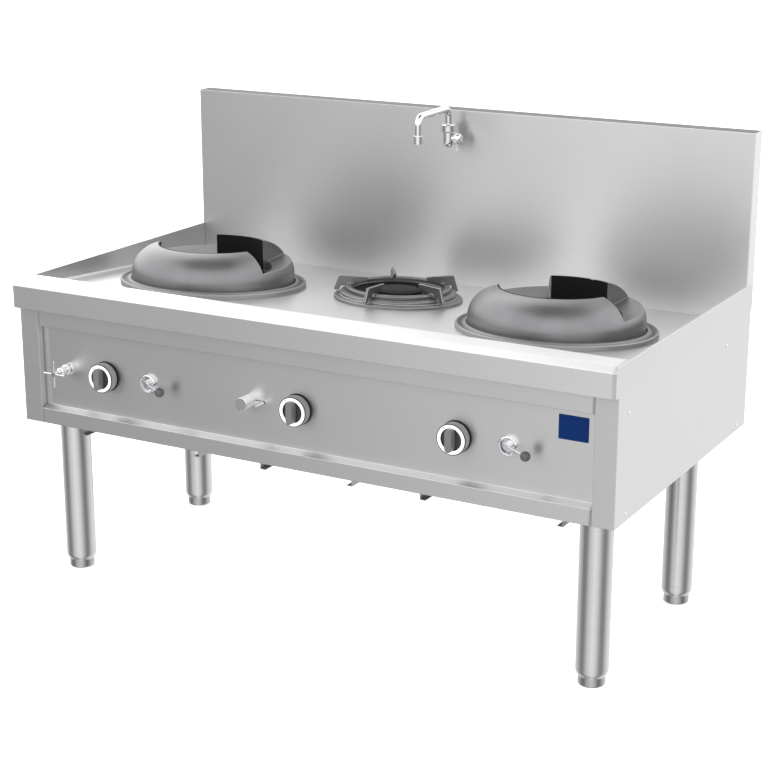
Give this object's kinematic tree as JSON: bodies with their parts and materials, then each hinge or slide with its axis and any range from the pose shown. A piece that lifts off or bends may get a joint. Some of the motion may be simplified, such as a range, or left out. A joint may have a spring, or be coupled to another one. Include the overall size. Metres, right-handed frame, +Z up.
{
  "type": "wok range",
  "caption": "Free-standing wok range: sloping deck with cast wok rings and a small open burner, tall splashback with swivel tap, recessed front controls, tubular legs.",
  "frame": {"origin": "centre of the bounding box on the floor", "axes": "+X to the right when facing the controls, +Y to the splashback, +Z up"},
  "size_m": [1.65, 0.921, 1.2054],
  "materials": {
    "steel": "brushed",
    "leg_steel": "brushed lengthwise",
    "frame_steel": "mill finish",
    "foot_metal": "turned",
    "cast": "grey, fine cast skin",
    "cast_dark": "matt",
    "chrome": "polished",
    "brass": "satin",
    "knob_grey": "matt",
    "knob_black": "matt",
    "ball_grey": "satin",
    "plate_blue": "satin",
    "gas_pipe": "satin",
    "copper_pipe": "dull"
  },
  "bodies": {
    "root": {"base_frame": "frame_steel", "blank_plate": "plate_blue", "burner_left": "cast_dark", "burner_right": "cast_dark", "burner_supply_pipes": "gas_pipe", "center_burner_body": "cast_dark", "center_collar": "cast", "cross_valve_body": "chrome", "firebox_left": "frame_steel", "firebox_right": "frame_steel", "front_fascia": "steel", "gas_manifold": "gas_pipe", "gas_valves": "brass", "knob_bezels": "knob_black", "left_side_panel": "steel", "leg_front_left": "leg_steel", "leg_front_right": "leg_steel", "leg_rear_left": "leg_steel", "leg_rear_right": "leg_steel", "lever_tap_body_left": "chrome", "lever_tap_body_right": "chrome", "panel_screws": "steel", "pilot_burners": "cast_dark", "rear_panel": "steel", "right_side_panel": "steel", "splash_rear_cover": "steel", "splashback": "steel", "stub_valve_body": "chrome", "tray_runners": "frame_steel", "wall_tap_body": "chrome", "water_pipes": "copper_pipe", "wok_collar_left": "steel", "wok_collar_right": "steel", "worktop_tray": "steel"},
    "foot_front_left": {"foot_front_left": "foot_metal"},
    "foot_front_right": {"foot_front_right": "foot_metal"},
    "foot_rear_left": {"foot_rear_left": "foot_metal"},
    "foot_rear_right": {"foot_rear_right": "foot_metal"},
    "wok_ring_left": {"wok_ring_left": "cast"},
    "wok_ring_right": {"wok_ring_right": "cast"},
    "pan_support": {"pan_support": "cast"},
    "center_burner_cap": {"center_burner_cap": "cast_dark"},
    "valve_stem_left": {"valve_stem_left": "brass"},
    "knob_left": {"knob_left": "knob_grey"},
    "valve_stem_center": {"valve_stem_center": "brass"},
    "knob_center": {"knob_center": "knob_grey"},
    "valve_stem_right": {"valve_stem_right": "brass"},
    "knob_right": {"knob_right": "knob_grey"},
    "tap_lever_left": {"tap_lever_left": "chrome", "lever_ball_left": "ball_grey"},
    "tap_lever_right": {"tap_lever_right": "chrome", "lever_ball_right": "ball_grey"},
    "cross_handle": {"cross_handle": "chrome"},
    "stub_valve_lever": {"stub_valve_lever": "chrome"},
    "wall_tap_spout": {"wall_tap_spout": "chrome"},
    "wall_tap_lever": {"wall_tap_lever": "chrome"},
    "drip_tray_left": {"drip_tray_left": "steel"},
    "drip_tray_center": {"drip_tray_center": "steel"},
    "drip_tray_right": {"drip_tray_right": "steel"}
  },
  "joints": [
    {"name": "foot_front_left_adjust", "type": "slide", "parent": "root", "child": "foot_front_left", "axis": [0, 0, -1], "range_m": [0, 0.03]},
    {"name": "foot_front_right_adjust", "type": "slide", "parent": "root", "child": "foot_front_right", "axis": [0, 0, -1], "range_m": [0, 0.03]},
    {"name": "foot_rear_left_adjust", "type": "slide", "parent": "root", "child": "foot_rear_left", "axis": [0, 0, -1], "range_m": [0, 0.03]},
    {"name": "foot_rear_right_adjust", "type": "slide", "parent": "root", "child": "foot_rear_right", "axis": [0, 0, -1], "range_m": [0, 0.03]},
    {"name": "wok_ring_left_lift", "type": "slide", "parent": "root", "child": "wok_ring_left", "axis": [0, 0, 1], "range_m": [0, 0.12]},
    {"name": "wok_ring_right_lift", "type": "slide", "parent": "root", "child": "wok_ring_right", "axis": [0, 0, 1], "range_m": [0, 0.12]},
    {"name": "pan_support_lift", "type": "slide", "parent": "root", "child": "pan_support", "axis": [0, 0, 1], "range_m": [0, 0.08]},
    {"name": "center_burner_cap_lift", "type": "slide", "parent": "root", "child": "center_burner_cap", "axis": [0, 0, 1], "range_m": [0, 0.05]},
    {"name": "knob_left_push", "type": "slide", "parent": "root", "child": "valve_stem_left", "axis": [0, 1, 0], "range_m": [0, 0.004], "stiffness_N_per_m": 2000, "springref_m": -0.002},
    {"name": "knob_left_turn", "type": "hinge", "parent": "valve_stem_left", "child": "knob_left", "pos_m": [-0.57, -0.4145, 0.573], "axis": [0, -1, 0], "range_deg": [0, 180]},
    {"name": "knob_center_push", "type": "slide", "parent": "root", "child": "valve_stem_center", "axis": [0, 1, 0], "range_m": [0, 0.004], "stiffness_N_per_m": 2000, "springref_m": -0.002},
    {"name": "knob_center_turn", "type": "hinge", "parent": "valve_stem_center", "child": "knob_center", "pos_m": [0, -0.4145, 0.573], "axis": [0, -1, 0], "range_deg": [0, 180]},
    {"name": "knob_right_push", "type": "slide", "parent": "root", "child": "valve_stem_right", "axis": [0, 1, 0], "range_m": [0, 0.004], "stiffness_N_per_m": 2000, "springref_m": -0.002},
    {"name": "knob_right_turn", "type": "hinge", "parent": "valve_stem_right", "child": "knob_right", "pos_m": [0.424, -0.4145, 0.573], "axis": [0, -1, 0], "range_deg": [0, 180]},
    {"name": "tap_lever_left_turn", "type": "hinge", "parent": "root", "child": "tap_lever_left", "pos_m": [-0.4383, -0.4055, 0.573], "axis": [0, -1, 0], "range_deg": [-90, 0]},
    {"name": "tap_lever_right_turn", "type": "hinge", "parent": "root", "child": "tap_lever_right", "pos_m": [0.556, -0.4055, 0.573], "axis": [0, -1, 0], "range_deg": [-90, 0]},
    {"name": "cross_handle_turn", "type": "hinge", "parent": "root", "child": "cross_handle", "pos_m": [-0.6912, -0.4565, 0.5748], "axis": [0, -1, 0], "range_deg": [0, 720]},
    {"name": "stub_valve_lever_turn", "type": "hinge", "parent": "root", "child": "stub_valve_lever", "pos_m": [-0.139, -0.4035, 0.5735], "axis": [0, -1, 0], "range_deg": [0, 90]},
    {"name": "wall_tap_spout_swivel", "type": "hinge", "parent": "root", "child": "wall_tap_spout", "pos_m": [0.001, 0.3655, 1.145], "axis": [0, 0, 1], "range_deg": [-90, 90]},
    {"name": "wall_tap_lever_turn", "type": "hinge", "parent": "root", "child": "wall_tap_lever", "pos_m": [0.027, 0.3675, 1.117], "axis": [-1, 0, 0], "range_deg": [0, 90]},
    {"name": "drip_tray_left_pull", "type": "slide", "parent": "root", "child": "drip_tray_left", "axis": [0, -1, 0], "range_m": [0, 0.45]},
    {"name": "drip_tray_center_pull", "type": "slide", "parent": "root", "child": "drip_tray_center", "axis": [0, -1, 0], "range_m": [0, 0.45]},
    {"name": "drip_tray_right_pull", "type": "slide", "parent": "root", "child": "drip_tray_right", "axis": [0, -1, 0], "range_m": [0, 0.45]}
  ]
}
